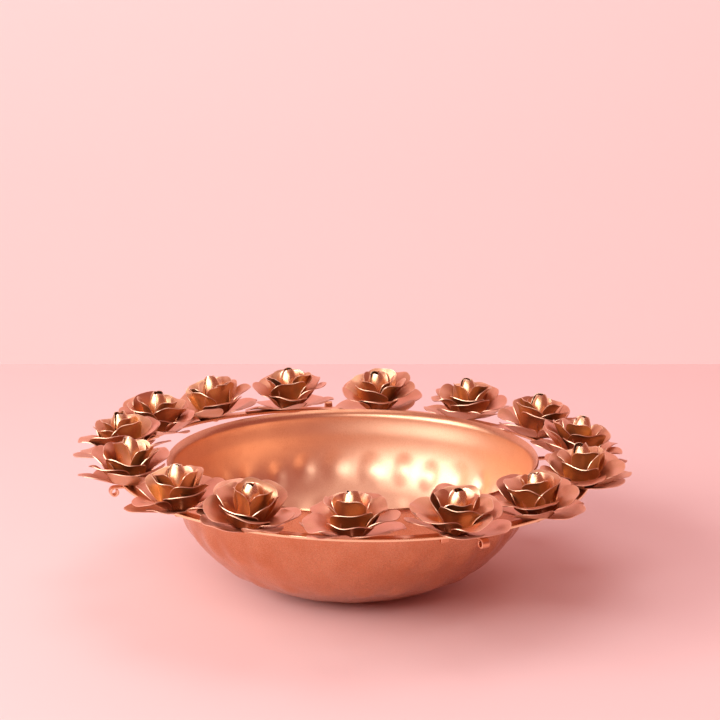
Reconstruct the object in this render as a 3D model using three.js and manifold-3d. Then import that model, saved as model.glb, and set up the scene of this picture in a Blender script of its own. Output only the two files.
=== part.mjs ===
// Urli bowl: a hand-hammered sheet-metal bowl with a flat ring of fifteen sheet-metal roses held around its rim
// on four scroll-ended arms. Millimetres, +Z up; the origin is the centre of the flat that the bowl stands on
// and -Y is the front. Every flower is a stack on one pin: outer petals, inner petals and a rolled bud.
import * as THREE from "three";
import { mergeVertices } from "three/addons/utils/BufferGeometryUtils.js";
import Module from "manifold-3d";

// The fit between pieces that touch.
const GAP = 0.3;

// Bowl.
const BOWL_HEIGHT = 81.8;
const LIP_RADIUS = 115;
const WALL_TOP_RADIUS = 109.3;
const BASE_RADIUS = 29;
const BOWL_SHEET = 1.2;
const WALL_RISE_POWER = 0.713;
const WALL_SPREAD_POWER = 1.28;
const WALL_TOP_SHARE = 0.975;
const WALL_STEPS = 8;
const BOWL_SIDES = 48;

// Flower ring: a flat hoop, left a little higher on the -X side by hand assembly.
const RING_RADIUS = 143.5;
const RING_WIDTH = 6.8;
const RING_THICKNESS = 1.8;
const RING_UNDERSIDE = 73.1;
const RING_TILT = THREE.MathUtils.degToRad(1.54);
const RING_SIDES = 60;

// Pin of a rose, its hole, and the head peened over under the ring.
const PIN_RADIUS = 1.1;
const PIN_HOLE_RADIUS = 1.55;
const PIN_HEAD_RADIUS = 2.4;
const PIN_HEAD_HEIGHT = 1;
const PIN_SIDES = 8;

// Petals. A layer is a disc of petals cut from one sheet with a hole for the pin. Its profile runs from the
// hole to the petals' tips, as [radius, height above the top of the ring].
const PETAL_SHEET = 0.7;
const SHOULDER_SHARE = 0.66;
const SLIT_DEPTH_SHARE = 0.26;
const SPREAD_PETALS = { count: 5, profile: [[1.6, 0.65], [28.8, 0.65]], nod: 0 };
const CUP_PETALS = { count: 5, profile: [[1.7, 1.05], [12.8, 9.2], [24, 15.8]], nod: 0.25 };
const HEART_PETALS = { count: 4, profile: [[2, 2.4], [9.2, 12.6], [17, 20]], nod: 0.25 };
const CORE_PETALS = { count: 3, profile: [[2.3, 2.9], [7.2, 13.6], [10.6, 22.8]], nod: 0.25 };
const BUD_SEAT = 5;

// The raised petals of every rose are bent open towards the table's front: they fall by a layer's "nod" per
// millimetre before the bud and rise as much behind it, from this distance from the pin outwards.
const NOD_START = 5;

// A rose keeps its hub flat on the ring and leans more and more towards its tip.
const ROSE_HEIGHT = 26.8;
const LEAN_START = 4;
const LEAN_POWER = 1.3;

// The roses anticlockwise from the front, in degrees round the ring (-90 is the front). "turn" is the turn of
// the flower on its pin, "lift" how far its spread petals rise at their ends, "out" and "round" how far the
// tip leans away from the bowl and anticlockwise round the ring, "tall" how much taller than usual it is.
const ROSES = [
  { at: -90, turn: 36, lift: 4, out: -3, round: -1, tall: 0 },
  { at: -66, turn: 50, lift: 6, out: 1, round: 0.5, tall: 0 },
  { at: -42, turn: 12, lift: 4, out: -3, round: 0, tall: 0.5 },
  { at: -14, turn: 30, lift: 3, out: -3, round: 2.5, tall: 1 },
  { at: 10, turn: 0, lift: 5, out: 5, round: 3.5, tall: 2.8 },
  { at: 33, turn: 52, lift: 3, out: 4.5, round: 3, tall: 3.6 },
  { at: 57.5, turn: 30, lift: 6, out: 3, round: 3, tall: 2 },
  { at: 83, turn: 8, lift: 2, out: -2, round: 3, tall: 0.6 },
  { at: 107.5, turn: 20, lift: 2, out: 3.5, round: 1.5, tall: 1.8 },
  { at: 130, turn: 58, lift: 3, out: 6, round: 1.5, tall: 2 },
  { at: 153, turn: 14, lift: 5, out: -0.5, round: -2, tall: 1 },
  { at: 177, turn: 40, lift: 3, out: 3, round: -4, tall: 2.2 },
  { at: 202, turn: 66, lift: 5, out: -2, round: -4.5, tall: 2.8 },
  { at: 226, turn: 26, lift: 3, out: -1, round: -4, tall: 1.4 },
  { at: 246, turn: 54, lift: 5, out: 0.5, round: 1.5, tall: 0.4 },
];

// Arms: straps from the bowl's wall to beyond the ring, ending in a scroll. "roll" is 1 for up, -1 for down.
const ARMS = {
  arm_front: { at: -60.5, roll: -1 },
  arm_right: { at: 18, roll: -1 },
  arm_rear: { at: 96.5, roll: 1 },
  arm_left: { at: 199, roll: -1 },
};
const STRAP_WIDTH = 5;
const STRAP_THICKNESS = 1.2;
const TAB_BOTTOM = 56;
const TAB_TOP = 64;
const STRAP_LEVEL_RADIUS = 119;
const SCROLL_RADIUS = 2.7;
const SCROLL_OVERHANG = 3.9;
const SCROLL_TURN = THREE.MathUtils.degToRad(290);
const SCROLL_STEPS = 9;

const wasm = await Module();
wasm.setup();

/** A finish: copper-coloured lacquered sheet metal, a little different from piece to piece. */
function copper(color, roughness) {
  return new THREE.MeshStandardMaterial({ color, roughness, metalness: 1 });
}

const FINISHES = {
  bowl: copper("#c9794d", 0.34),
  ring: copper("#c07350", 0.38),
  arm: copper("#b96f4c", 0.38),
  outerPetals: copper("#cf8468", 0.42),
  innerPetals: copper("#b9814f", 0.4),
  bud: copper("#d79f6c", 0.3),
};

/** A named mesh. */
function mesh(name, geometry, finish) {
  const piece = new THREE.Mesh(geometry, finish);
  piece.name = name;
  return piece;
}

/** The solid turned about Z from an outline of [radius, height] points. */
function revolved(outline, sides) {
  const points = outline.map(([radius, height]) => new THREE.Vector2(radius, height));
  return new THREE.LatheGeometry(points, sides).rotateX(Math.PI / 2);
}

/** The outside of the bowl's wall at a share u of the way up, with its unit normal, in the radial plane. */
function wallAt(u) {
  const angle = (u * Math.PI) / 2;
  const point = (a) => [
    BASE_RADIUS + (WALL_TOP_RADIUS - BASE_RADIUS) * Math.sin(a) ** WALL_SPREAD_POWER,
    BOWL_HEIGHT * (1 - Math.cos(a) ** WALL_RISE_POWER),
  ];
  const [radius, height] = point(angle);
  const [nextRadius, nextHeight] = point(angle + 1e-4);
  const length = Math.hypot(nextRadius - radius, nextHeight - height);
  const normal = [(nextHeight - height) / length, -(nextRadius - radius) / length];
  return { radius, height, normal };
}

/** The outside radius of the bowl's wall at a height. */
function wallRadiusAt(height) {
  let low = 0;
  let high = WALL_TOP_SHARE;
  while (high - low > 1e-6) {
    const middle = (low + high) / 2;
    if (wallAt(middle).height < height) low = middle;
    else high = middle;
  }
  return wallAt(low).radius;
}

/** The bowl: one sheet, with a flat to stand on and a lip folded softly outwards. */
function bowlGeometry() {
  const wall = Array.from({ length: WALL_STEPS + 1 }, (_, i) => wallAt((WALL_TOP_SHARE * i) / WALL_STEPS));
  const outside = wall.map(({ radius, height }) => [radius, height]);
  const inside = wall.map(({ radius, height, normal }) => [
    radius - normal[0] * BOWL_SHEET,
    height - normal[1] * BOWL_SHEET,
  ]);
  const lip = [
    [LIP_RADIUS - 3.6, BOWL_HEIGHT - 2.6],
    [LIP_RADIUS - 0.6, BOWL_HEIGHT - 1.6],
    [LIP_RADIUS, BOWL_HEIGHT - 0.8],
    [LIP_RADIUS - 0.8, BOWL_HEIGHT - 0.1],
    [LIP_RADIUS - 4, BOWL_HEIGHT],
    [LIP_RADIUS - 6.2, BOWL_HEIGHT - 1.6],
  ];
  return revolved([[0, 0], ...outside, ...lip, ...inside.reverse(), [0, BOWL_SHEET]], BOWL_SIDES);
}

/** A manifold solid made from a geometry. */
function solid(geometry) {
  const bare = geometry.clone();
  bare.deleteAttribute("normal");
  bare.deleteAttribute("uv");
  const merged = mergeVertices(bare, 1e-4);
  return new wasm.Manifold(
    new wasm.Mesh({
      numProp: 3,
      vertProperties: merged.attributes.position.array,
      triVerts: new Uint32Array(merged.index.array),
    }),
  );
}

/** The geometry of a manifold solid. */
function geometryOf(body) {
  const { vertProperties, triVerts } = body.getMesh();
  const geometry = new THREE.BufferGeometry();
  geometry.setAttribute("position", new THREE.BufferAttribute(vertProperties, 3));
  geometry.setIndex(new THREE.BufferAttribute(triVerts, 1));
  geometry.computeVertexNormals();
  return geometry;
}

/** The ring, its underside at zero, with a hole for the pin of every rose. */
function ringGeometry() {
  const inner = RING_RADIUS - RING_WIDTH / 2;
  const outer = RING_RADIUS + RING_WIDTH / 2;
  const section = [
    [inner, 0],
    [outer, 0],
    [outer, RING_THICKNESS],
    [inner, RING_THICKNESS],
    [inner, 0],
  ];
  const drill = new THREE.CylinderGeometry(PIN_HOLE_RADIUS, PIN_HOLE_RADIUS, 3 * RING_THICKNESS, PIN_SIDES);
  drill.rotateX(Math.PI / 2);
  let ring = solid(revolved(section, RING_SIDES));
  for (const { at } of ROSES) {
    const angle = THREE.MathUtils.degToRad(at);
    const hole = drill.clone().translate(RING_RADIUS * Math.cos(angle), RING_RADIUS * Math.sin(angle), 0);
    ring = ring.subtract(solid(hole));
  }
  return geometryOf(ring);
}

/** A point on a profile of [radius, height] points at a distance counted in its points, with its normal. */
function profileAt(profile, position) {
  const start = Math.min(Math.floor(position), profile.length - 2);
  const [[r0, z0], [r1, z1]] = [profile[start], profile[start + 1]];
  const share = position - start;
  const length = Math.hypot(r1 - r0, z1 - z0);
  return {
    radius: r0 + (r1 - r0) * share,
    height: z0 + (z1 - z0) * share,
    normal: [-(z1 - z0) / length, (r1 - r0) / length],
  };
}

/** The lines of one layer: for each line its angle and how far out it runs, slits and petals in turn. */
function layerLines(count) {
  const half = Math.PI / count;
  const shoulder = half * SHOULDER_SHARE;
  const lines = [];
  for (let petal = 0; petal < count; petal++) {
    const middle = petal * 2 * half;
    lines.push({ angle: middle - half, share: SLIT_DEPTH_SHARE });
    lines.push({ angle: middle - shoulder, share: 1 });
    lines.push({ angle: middle + shoulder, share: 1 });
  }
  return lines;
}

/** The vertices of one face of a layer, on the side that "side" says: 1 for the upper face, -1 for the lower. */
function layerFace(lines, profile, side) {
  return lines.flatMap(({ angle, share }) =>
    profile.flatMap((_, row) => {
      const { radius, height, normal } = profileAt(profile, row * share);
      const offset = (side * PETAL_SHEET) / 2;
      const r = radius + normal[0] * offset;
      return [r * Math.cos(angle), r * Math.sin(angle), height + normal[1] * offset];
    }),
  );
}

/** A layer of petals: a sheet disc with a hole for the pin, slit into petals that follow a rising profile. */
function layerGeometry({ count, profile }) {
  const lines = layerLines(count);
  const rows = profile.length;
  const lower = lines.length * rows;
  const index = [];
  const quad = (a, b, c, d) => index.push(a, b, c, a, c, d);
  lines.forEach((_, k) => {
    const here = k * rows;
    const next = ((k + 1) % lines.length) * rows;
    for (let j = 0; j < rows - 1; j++) {
      quad(here + j, here + j + 1, next + j + 1, next + j);
      quad(lower + here + j, lower + next + j, lower + next + j + 1, lower + here + j + 1);
    }
    quad(here, next, lower + next, lower + here);
    quad(next + rows - 1, here + rows - 1, lower + here + rows - 1, lower + next + rows - 1);
  });
  const points = [...layerFace(lines, profile, 1), ...layerFace(lines, profile, -1)];
  const geometry = new THREE.BufferGeometry();
  geometry.setAttribute("position", new THREE.Float32BufferAttribute(points, 3));
  geometry.setIndex(index);
  return geometry;
}

/** Two layers on one pin, the upper turned by half a petal of the lower, their hubs joined face to face. */
function petalPairGeometry(lowerLayer, upperLayer, spin, front) {
  const lower = layerGeometry(lowerLayer).rotateZ(spin);
  const upper = layerGeometry(upperLayer).rotateZ(spin + Math.PI / lowerLayer.count);
  const bodies = [nodded(lower, lowerLayer.nod, front), nodded(upper, upperLayer.nod, front)].map(solid);
  return geometryOf(bodies[0].add(bodies[1]));
}

/** Bends a layer open towards an angle: past the first millimetres it falls on that side and rises opposite. */
function nodded(geometry, slope, front) {
  const position = geometry.getAttribute("position");
  for (let i = 0; i < position.count; i++) {
    const [x, y] = [position.getX(i), position.getY(i)];
    const radius = Math.hypot(x, y);
    const ahead = radius > NOD_START ? (x * Math.cos(front) + y * Math.sin(front)) / radius : 0;
    position.setZ(i, position.getZ(i) - slope * ahead * (radius - NOD_START));
  }
  return geometry;
}

/** The rolled bud with its pin, which runs down through the petals and the ring to its peened head. */
function budGeometry() {
  const headTop = -RING_THICKNESS - GAP;
  const outline = [
    [0, headTop - PIN_HEAD_HEIGHT],
    [PIN_HEAD_RADIUS, headTop],
    [PIN_RADIUS, headTop],
    [PIN_RADIUS, BUD_SEAT],
    [4.8, BUD_SEAT + 8],
    [4.5, ROSE_HEIGHT - 8],
    [2.8, ROSE_HEIGHT],
    [1.8, ROSE_HEIGHT],
    [0, ROSE_HEIGHT - 4],
  ];
  return revolved(outline, PIN_SIDES);
}

/** Bends a rose piece over: its points move sideways by (x, y) at the tip and by less the lower they are. */
function lean(geometry, x, y) {
  const position = geometry.getAttribute("position");
  for (let i = 0; i < position.count; i++) {
    const height = Math.max(position.getZ(i) - LEAN_START, 0);
    const share = (height / (ROSE_HEIGHT - LEAN_START)) ** LEAN_POWER;
    position.setXY(i, position.getX(i) + x * share, position.getY(i) + y * share);
  }
  geometry.computeVertexNormals();
  return geometry;
}

/** Makes a rose piece taller: everything above the ring is stretched so that the tip rises by "tall". */
function stretched(geometry, tall) {
  const position = geometry.getAttribute("position");
  for (let i = 0; i < position.count; i++) {
    const height = position.getZ(i);
    if (height > 0) position.setZ(i, height * (1 + tall / ROSE_HEIGHT));
  }
  return geometry;
}

/** A flat layer with its petals' tips raised by a lift. */
function lifted({ count, profile, nod }, lift) {
  const [hole, [reach, height]] = profile;
  return { count, profile: [hole, [reach, height + lift]], nod };
}

/** One rose as a group whose +X points away from the bowl and whose origin is the top of the ring at its pin. */
function roseGroup(label, { at, turn, lift, out, round, tall }) {
  const angle = THREE.MathUtils.degToRad(at);
  const spin = THREE.MathUtils.degToRad(turn);
  const front = -Math.PI / 2 - angle;
  const outer = petalPairGeometry(lifted(SPREAD_PETALS, lift), CUP_PETALS, spin, front);
  const inner = petalPairGeometry(HEART_PETALS, CORE_PETALS, spin, front);
  const shaped = (geometry) => lean(stretched(geometry, tall), out, round);
  const rose = new THREE.Group();
  rose.add(mesh(`${label}_outer_petals`, shaped(outer), FINISHES.outerPetals));
  rose.add(mesh(`${label}_inner_petals`, shaped(inner), FINISHES.innerPetals));
  rose.add(mesh(`${label}_bud`, shaped(budGeometry()), FINISHES.bud));
  rose.position.set(RING_RADIUS * Math.cos(angle), RING_RADIUS * Math.sin(angle), RING_THICKNESS);
  rose.rotation.z = angle;
  return rose;
}

/** The centre line of an arm in its radial plane, as [radius, height] points from the tab to the scroll's end. */
function armLine({ at, roll }) {
  const slope = -Math.tan(RING_TILT) * Math.cos(THREE.MathUtils.degToRad(at));
  const level = (radius) => RING_UNDERSIDE + slope * radius - 1.5 * GAP - STRAP_THICKNESS / 2;
  const clear = GAP + STRAP_THICKNESS / 2;
  const end = RING_RADIUS + RING_WIDTH / 2 + SCROLL_OVERHANG;
  const centre = level(end) + roll * SCROLL_RADIUS;
  const line = [
    [wallRadiusAt(TAB_TOP) + clear, TAB_BOTTOM],
    [wallRadiusAt(TAB_TOP) + clear, TAB_TOP],
    [STRAP_LEVEL_RADIUS, level(STRAP_LEVEL_RADIUS)],
  ];
  for (let i = 0; i <= SCROLL_STEPS; i++) {
    const turned = roll * (SCROLL_TURN * (i / SCROLL_STEPS) - Math.PI / 2);
    line.push([end + SCROLL_RADIUS * Math.cos(turned), centre + SCROLL_RADIUS * Math.sin(turned)]);
  }
  return line;
}

/** The outline of a strip of even thickness along a centre line. */
function stripOutline(line, thickness) {
  const points = line.map(([x, y]) => new THREE.Vector2(x, y));
  const offsets = points.map((point, i) => {
    const before = points[Math.max(i - 1, 0)];
    const after = points[Math.min(i + 1, points.length - 1)];
    const along = after.clone().sub(before).normalize();
    const into = point.clone().sub(before);
    const miter = i > 0 && i < points.length - 1 ? Math.abs(into.normalize().dot(along)) : 1;
    return new THREE.Vector2(-along.y, along.x).multiplyScalar(thickness / 2 / miter);
  });
  const left = points.map((point, i) => point.clone().add(offsets[i]));
  const right = points.map((point, i) => point.clone().sub(offsets[i]));
  return new THREE.Shape([...left, ...right.reverse()]);
}

/** An arm: a strap bent from the bowl's wall under the ring to a scroll past its outer edge. */
function armMesh(name, arm) {
  const outline = stripOutline(armLine(arm), STRAP_THICKNESS);
  const geometry = new THREE.ExtrudeGeometry(outline, { depth: STRAP_WIDTH, bevelEnabled: false });
  geometry.translate(0, 0, -STRAP_WIDTH / 2).rotateX(Math.PI / 2);
  const piece = mesh(name, geometry, FINISHES.arm);
  piece.rotation.z = THREE.MathUtils.degToRad(arm.at);
  return piece;
}

/** The ring with its roses, tilted as one. */
function flowerRingGroup() {
  const group = new THREE.Group();
  group.add(mesh("flower_ring", ringGeometry(), FINISHES.ring));
  ROSES.forEach((rose, i) => group.add(roseGroup(`rose_${String(i + 1).padStart(2, "0")}`, rose)));
  group.position.z = RING_UNDERSIDE;
  group.rotation.y = RING_TILT;
  return group;
}

const urliBowl = new THREE.Group();
urliBowl.add(mesh("bowl", bowlGeometry(), FINISHES.bowl));
for (const [name, arm] of Object.entries(ARMS)) {
  urliBowl.add(armMesh(name, arm));
}
urliBowl.add(flowerRingGroup());

export default urliBowl;
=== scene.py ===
"""The looks of an urli bowl: a hammered copper bowl inside a flat ring of fifteen sheet-metal roses.

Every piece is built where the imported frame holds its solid: the bowl, the ring and its four scroll-ended
arms, and for every rose four pressed petal discs, a rolled bud and the pin that holds them. Lengths are in
metres, +Z is up and -Y is the front.
"""

import logging
import math
import random
from dataclasses import dataclass, field, replace
from enum import Enum
from typing import Callable

import bpy
import numpy as np
from mathutils import Matrix, Vector

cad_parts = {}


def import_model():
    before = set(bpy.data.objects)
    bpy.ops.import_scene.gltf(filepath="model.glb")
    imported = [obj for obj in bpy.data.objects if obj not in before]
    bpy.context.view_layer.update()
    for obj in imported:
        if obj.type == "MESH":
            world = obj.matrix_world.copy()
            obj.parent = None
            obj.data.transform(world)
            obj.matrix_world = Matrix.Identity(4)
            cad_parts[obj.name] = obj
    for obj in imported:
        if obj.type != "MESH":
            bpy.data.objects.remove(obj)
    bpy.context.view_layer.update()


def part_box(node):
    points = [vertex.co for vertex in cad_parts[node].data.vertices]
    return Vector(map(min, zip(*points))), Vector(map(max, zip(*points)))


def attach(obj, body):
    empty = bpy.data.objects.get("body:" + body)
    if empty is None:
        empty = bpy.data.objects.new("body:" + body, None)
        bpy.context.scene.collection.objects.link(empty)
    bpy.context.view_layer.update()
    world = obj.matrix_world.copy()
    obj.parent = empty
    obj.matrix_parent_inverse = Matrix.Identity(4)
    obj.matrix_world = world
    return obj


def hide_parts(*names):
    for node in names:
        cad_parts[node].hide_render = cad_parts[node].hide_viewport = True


LOG = logging.getLogger("urli")
MM = 0.001
ROOT = "root"

Form = Callable[[np.ndarray], np.ndarray]


# --- The bench: the hand operations that pieces are made with -----------------------------------------------


class Bench:
    """Selecting, joining, thickening and finishing of meshes, done with the modelling operators."""

    @staticmethod
    def clear() -> None:
        """Leaves edit mode and deselects everything."""
        if bpy.context.object and bpy.context.object.mode != "OBJECT":
            bpy.ops.object.mode_set(mode="OBJECT")
        bpy.ops.object.select_all(action="DESELECT")

    @staticmethod
    def pick(*pieces: bpy.types.Object) -> None:
        """Selects only these pieces and makes the first one active.

        Args:
            pieces: what is selected.
        """
        Bench.clear()
        for piece in pieces:
            piece.select_set(True)
        bpy.context.view_layer.objects.active = pieces[0]

    @staticmethod
    def sheet(name: str, columns: int, rows: int) -> bpy.types.Object:
        """Lays out a flat sheet from (0, 0) to (1, 1).

        Args:
            name: the piece's name.
            columns: cells along X.
            rows: cells along Y.

        Returns:
            The sheet, its place in its mesh.
        """
        Bench.clear()
        bpy.ops.mesh.primitive_grid_add(x_subdivisions=columns, y_subdivisions=rows, size=1)
        piece = bpy.context.object
        bpy.ops.object.mode_set(mode="EDIT")
        bpy.ops.transform.translate(value=(0.5, 0.5, 0))
        bpy.ops.object.mode_set(mode="OBJECT")
        piece.name = piece.data.name = name
        return piece

    @staticmethod
    def turned(name: str, outline: list[tuple[float, float]], steps: int) -> bpy.types.Object:
        """Extrudes a line of vertices along an outline and spins it about Z.

        Args:
            name: the piece's name.
            outline: points of the section, as (radius, height).
            steps: divisions of the full turn.

        Returns:
            The turned skin, with its seam and its poles closed.
        """
        Bench.clear()
        bpy.ops.mesh.primitive_circle_add(vertices=3, radius=MM)
        piece = bpy.context.object
        bpy.ops.object.mode_set(mode="EDIT")
        bpy.ops.mesh.merge(type="CENTER")
        start = Vector((outline[0][0], 0, outline[0][1]))
        bpy.ops.transform.translate(value=start)
        for (r0, z0), (r1, z1) in zip(outline, outline[1:]):
            move = {"value": (r1 - r0, 0, z1 - z0)}
            bpy.ops.mesh.extrude_region_move(TRANSFORM_OT_translate=move)
        bpy.ops.mesh.select_all(action="SELECT")
        bpy.ops.mesh.spin(steps=steps, angle=math.tau, center=(0, 0, 0), axis=(0, 0, 1))
        bpy.ops.mesh.select_all(action="SELECT")
        bpy.ops.mesh.remove_doubles(threshold=0.002 * MM)
        bpy.ops.mesh.normals_make_consistent(inside=False)
        bpy.ops.object.mode_set(mode="OBJECT")
        piece.name = piece.data.name = name
        return piece

    @staticmethod
    def press(piece: bpy.types.Object, form: Form) -> None:
        """Moves every vertex of a sheet to where a forming rule puts it.

        Args:
            piece: the sheet.
            form: takes the vertices as rows of X, Y, Z and returns them formed.
        """
        piece.data.vertices.foreach_set("co", form(Bench.read(piece, "co")).ravel())
        piece.data.update()

    @staticmethod
    def read(piece: bpy.types.Object, name: str) -> np.ndarray:
        """Reads a vector of every vertex of a piece.

        Args:
            piece: the piece.
            name: "co" for the places or "normal" for the normals.

        Returns:
            The vectors as rows of X, Y, Z.
        """
        values = np.empty(len(piece.data.vertices) * 3)
        piece.data.vertices.foreach_get(name, values)
        return values.reshape(-1, 3)

    @staticmethod
    def mark(piece: bpy.types.Object, name: str, values: np.ndarray) -> None:
        """Writes one number on every vertex of a piece, for its finish to read."""
        attribute = piece.data.attributes.get(name) or piece.data.attributes.new(name, "FLOAT", "POINT")
        attribute.data.foreach_set("value", values.astype(np.float32))

    @staticmethod
    def marked(piece: bpy.types.Object, name: str) -> np.ndarray:
        """Reads the numbers that were marked on a piece's vertices.

        Args:
            piece: the piece.
            name: what the numbers were marked as.

        Returns:
            One number for every vertex.
        """
        values = np.empty(len(piece.data.vertices), dtype=np.float32)
        piece.data.attributes[name].data.foreach_get("value", values)
        return values

    @staticmethod
    def copy(piece: bpy.types.Object, name: str) -> bpy.types.Object:
        """Copies a piece together with its mesh.

        Args:
            piece: what is copied.
            name: the copy's name.

        Returns:
            The copy.
        """
        twin = piece.copy()
        twin.data = piece.data.copy()
        twin.name = twin.data.name = name
        bpy.context.scene.collection.objects.link(twin)
        return twin

    @staticmethod
    def joined(pieces: list[bpy.types.Object], name: str, merge: float) -> bpy.types.Object:
        """Joins pieces into one and merges the vertices that meet.

        Args:
            pieces: what is joined; the first one stays.
            name: the name of the joined piece.
            merge: the distance within which vertices merge.

        Returns:
            The joined piece.
        """
        Bench.pick(*pieces)
        if len(pieces) > 1:
            bpy.ops.object.join()
        piece = bpy.context.object
        bpy.ops.object.mode_set(mode="EDIT")
        bpy.ops.mesh.select_all(action="SELECT")
        bpy.ops.mesh.remove_doubles(threshold=merge)
        bpy.ops.mesh.normals_make_consistent(inside=False)
        bpy.ops.object.mode_set(mode="OBJECT")
        piece.name = piece.data.name = name
        return piece

    @staticmethod
    def modify(piece: bpy.types.Object, kind: str, **settings: object) -> None:
        """Adds a modifier and applies it.

        Args:
            piece: the piece that is changed.
            kind: the modifier's type.
            settings: its settings, by name.
        """
        Bench.pick(piece)
        modifier = piece.modifiers.new(kind.title(), kind)
        for key, value in settings.items():
            setattr(modifier, key, value)
        bpy.ops.object.modifier_apply(modifier=modifier.name)

    @staticmethod
    def thicken(piece: bpy.types.Object, thickness: float) -> None:
        """Gives a skin its wall, half to each side."""
        Bench.modify(piece, "SOLIDIFY", thickness=thickness, offset=0.0, use_even_offset=False)

    @staticmethod
    def soften(piece: bpy.types.Object, width: float, segments: int) -> None:
        """Rounds the edges of a piece that are sharper than 40 degrees."""
        Bench.modify(
            piece, "BEVEL", width=width, segments=segments, limit_method="ANGLE",
            angle_limit=math.radians(40), use_clamp_overlap=True,
        )

    @staticmethod
    def smooth(piece: bpy.types.Object, angle: float = 45.0) -> None:
        """Shades a piece smooth except over its sharp edges.

        Args:
            piece: the piece.
            angle: the least turn of a sharp edge, in degrees.
        """
        Bench.pick(piece)
        bpy.ops.object.shade_smooth_by_angle(angle=math.radians(angle))
        Bench.clear()

    @staticmethod
    def place(piece: bpy.types.Object, matrix: Matrix) -> None:
        """Moves a piece's mesh, leaving its object at the origin."""
        piece.data.transform(matrix)
        piece.data.update()


# --- Shader graphs ------------------------------------------------------------------------------------------


class Wire:
    """A value in a shader graph, on which sums are written as plain Python."""

    def __init__(self, graph: "Graph", socket: bpy.types.NodeSocket) -> None:
        """Wraps a node's output socket."""
        self.graph = graph
        self.socket = socket

    def _math(self, operation: str, *values: "Wire | float") -> "Wire":
        """Adds a Math node."""
        return self.graph.node("ShaderNodeMath", {"operation": operation}, dict(enumerate(values)))

    def __add__(self, other: "Wire | float") -> "Wire":
        """self + other"""
        return self._math("ADD", self, other)

    def __radd__(self, other: float) -> "Wire":
        """other + self"""
        return self._math("ADD", other, self)

    def __sub__(self, other: "Wire | float") -> "Wire":
        """self - other"""
        return self._math("SUBTRACT", self, other)

    def __rsub__(self, other: float) -> "Wire":
        """other - self"""
        return self._math("SUBTRACT", other, self)

    def __mul__(self, other: "Wire | float") -> "Wire":
        """self * other"""
        return self._math("MULTIPLY", self, other)

    def __rmul__(self, other: float) -> "Wire":
        """other * self"""
        return self._math("MULTIPLY", other, self)

    def clamped(self) -> "Wire":
        """The value kept between 0 and 1."""
        return self.graph.node("ShaderNodeClamp", {}, {"Value": self})

    def ramp(self, low: float, high: float) -> "Wire":
        """Rises smoothly from 0 at low to 1 at high."""
        settings = {"interpolation_type": "SMOOTHSTEP"}
        return self.graph.node(
            "ShaderNodeMapRange", settings, {"Value": self, "From Min": low, "From Max": high}
        )


class Graph:
    """The node tree of one material."""

    def __init__(self, name: str) -> None:
        """Starts an empty material.

        Args:
            name: the material's name.
        """
        self.material = bpy.data.materials.new(name)
        self.material.use_nodes = True
        self.tree = self.material.node_tree
        self.tree.nodes.clear()

    def node(
        self, kind: str, settings: dict[str, object], inputs: dict[int | str, object],
        output: int | str | None = 0,
    ) -> Wire | None:
        """Adds a node.

        Args:
            kind: the node's type.
            settings: its properties, set before its sockets.
            inputs: a value or a Wire for each input socket, by name or place.
            output: the socket that is returned, by name or place, or None.

        Returns:
            The output as a Wire, or None where none is asked for.
        """
        made = self.tree.nodes.new(kind)
        for key, value in settings.items():
            setattr(made, key, value)
        for key, value in inputs.items():
            if isinstance(value, Wire):
                self.tree.links.new(value.socket, made.inputs[key])
            else:
                made.inputs[key].default_value = value
        return None if output is None else Wire(self, made.outputs[output])

    def place(self) -> Wire:
        """The place on the object, in metres."""
        return self.node("ShaderNodeTexCoord", {}, {}, "Object")

    def stretched(self, place: Wire, scale: tuple[float, float, float]) -> Wire:
        """A place scaled along each axis."""
        return self.node("ShaderNodeMapping", {}, {"Vector": place, "Scale": scale})

    def noise(self, place: Wire, scale: float, detail: float = 2.0, roughness: float = 0.5) -> Wire:
        """Cloudy noise from 0 to 1; scale is in waves per metre."""
        inputs = {"Vector": place, "Scale": scale, "Detail": detail, "Roughness": roughness}
        return self.node("ShaderNodeTexNoise", {}, inputs, "Fac")

    def marked(self, name: str) -> Wire:
        """A number that was marked on the mesh."""
        return self.node("ShaderNodeAttribute", {"attribute_name": name}, {}, "Fac")

    def mix(self, factor: Wire | float, low: object, high: object) -> Wire:
        """A colour between two colours."""
        settings = {"data_type": "RGBA"}
        return self.node("ShaderNodeMix", settings, {0: factor, 6: low, 7: high}, 2)

    def bump(self, height: Wire, distance: float, strength: float, normal: Wire | None = None) -> Wire:
        """A normal tilted by a height.

        Args:
            height: the height at each place.
            distance: how high the relief is, in metres.
            strength: how much of it shows.
            normal: the normal that is tilted, when it isn't the mesh's own.

        Returns:
            The tilted normal.
        """
        inputs = {"Height": height, "Distance": distance, "Strength": strength}
        if normal is not None:
            inputs["Normal"] = normal
        return self.node("ShaderNodeBump", {}, inputs, "Normal")

    def finish(self, sockets: dict[str, object]) -> bpy.types.Material:
        """Closes the graph with a Principled BSDF.

        Args:
            sockets: a value or a Wire for each of the shader's sockets.

        Returns:
            The finished material.
        """
        shader = self.node("ShaderNodeBsdfPrincipled", {}, sockets)
        self.node("ShaderNodeOutputMaterial", {}, {"Surface": shader}, None)
        return self.material


Colour = tuple[float, float, float, float]


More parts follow.
